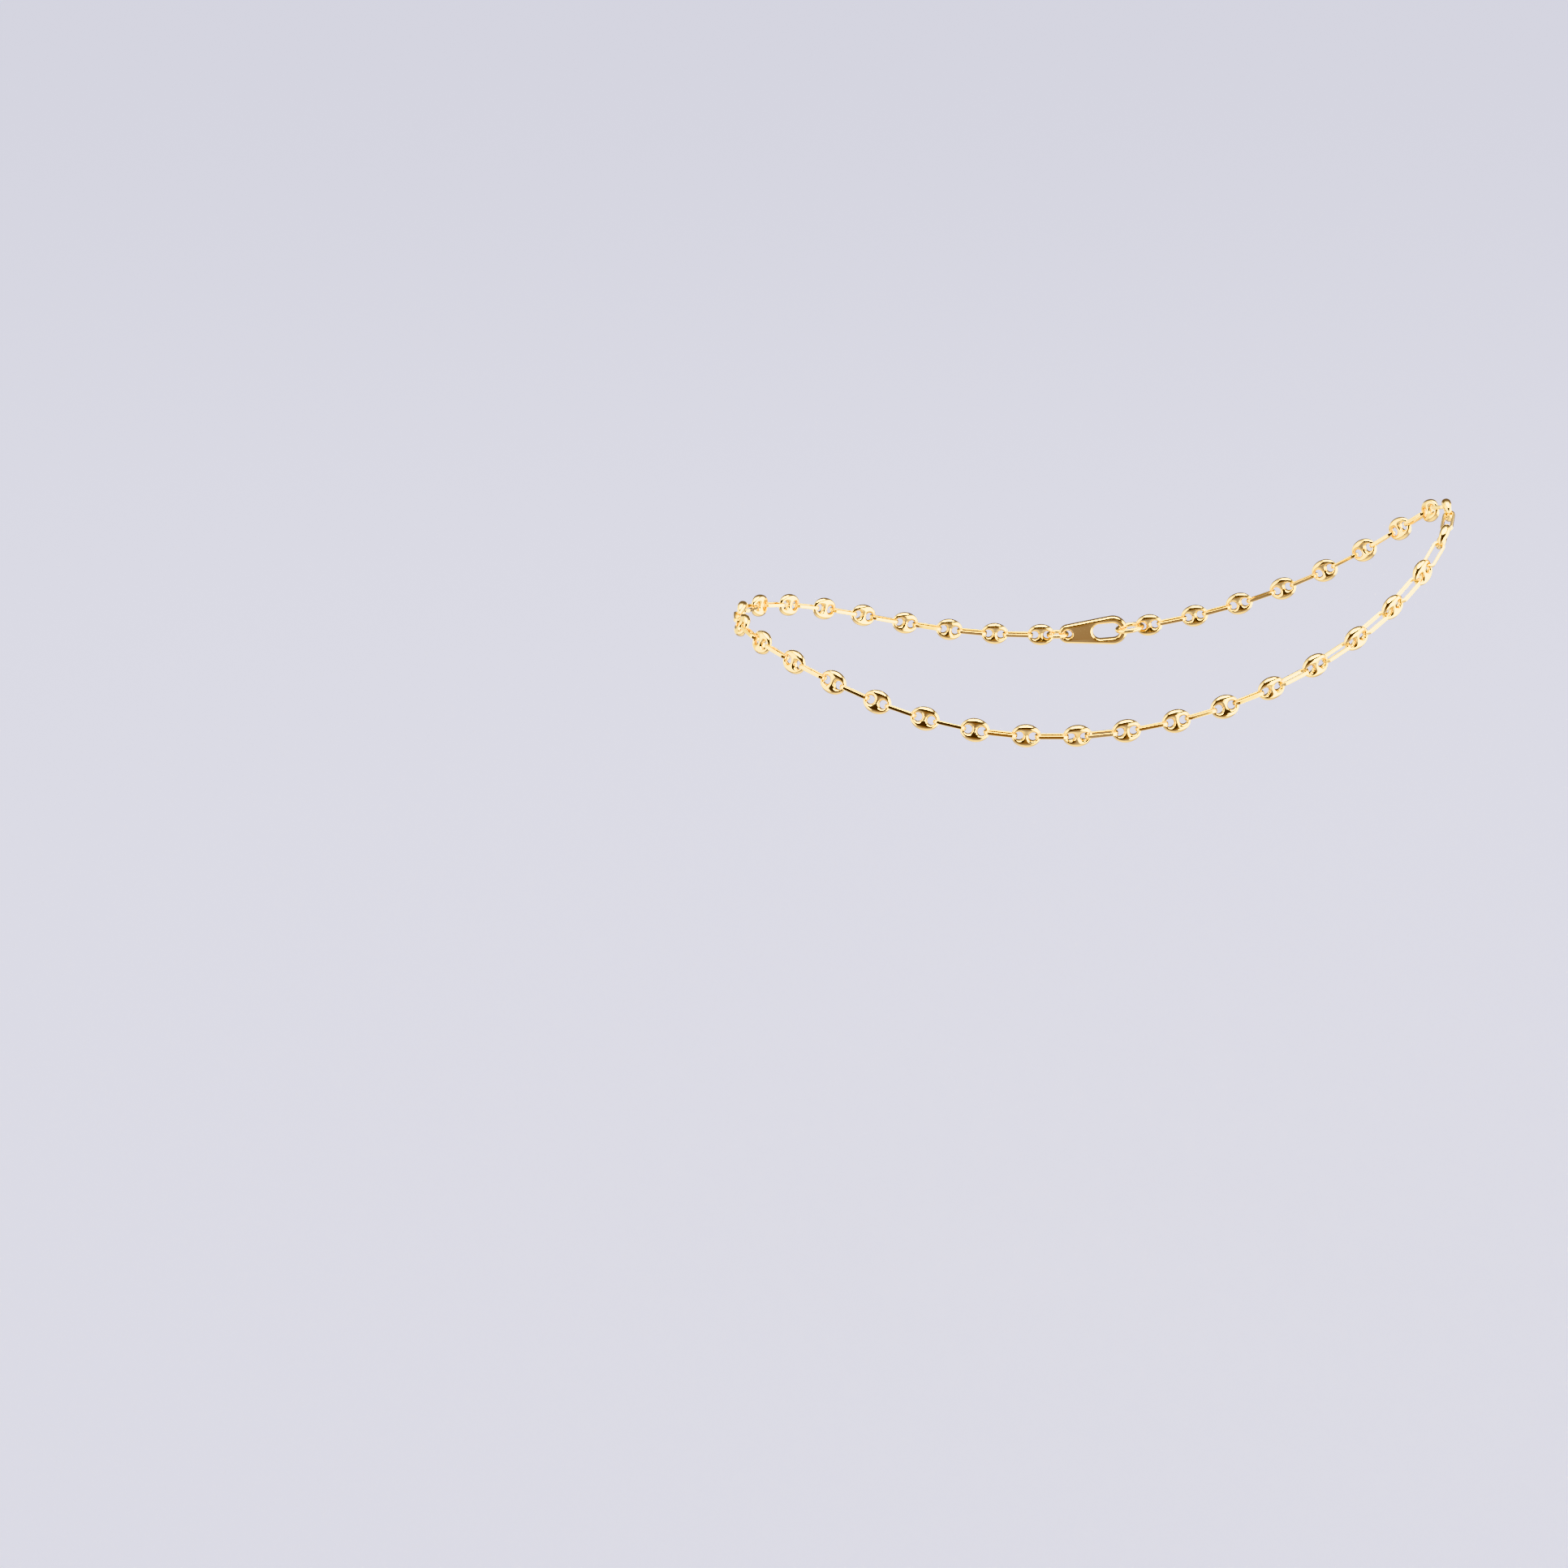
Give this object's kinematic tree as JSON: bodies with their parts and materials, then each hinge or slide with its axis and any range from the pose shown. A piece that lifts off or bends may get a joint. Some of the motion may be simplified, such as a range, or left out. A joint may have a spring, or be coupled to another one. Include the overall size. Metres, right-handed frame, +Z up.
{
  "type": "puffed mariner link chain anklet",
  "caption": "Chain anklet of polished gold puffed oval links with two holes, joined by narrow strip links into a closed loop with a clasp.",
  "frame": {"origin": "middle of the ankle that the loop hangs round, at the height where its front, back and sides balance", "axes": "+Z up along the leg, +X towards the heel, -Y towards the side of the ankle that the picture shows"},
  "size_m": [0.099, 0.0532, 0.0279],
  "materials": {
    "chain_gold": "polished yellow gold plating",
    "clasp_gold": "polished yellow gold plating, plain"
  },
  "bodies": {
    "root": {"chain_heel_half": "chain_gold", "chain_instep_half": "chain_gold", "clasp_ring": "clasp_gold", "clasp": "clasp_gold", "end_ring": "clasp_gold"}
  },
  "joints": []
}
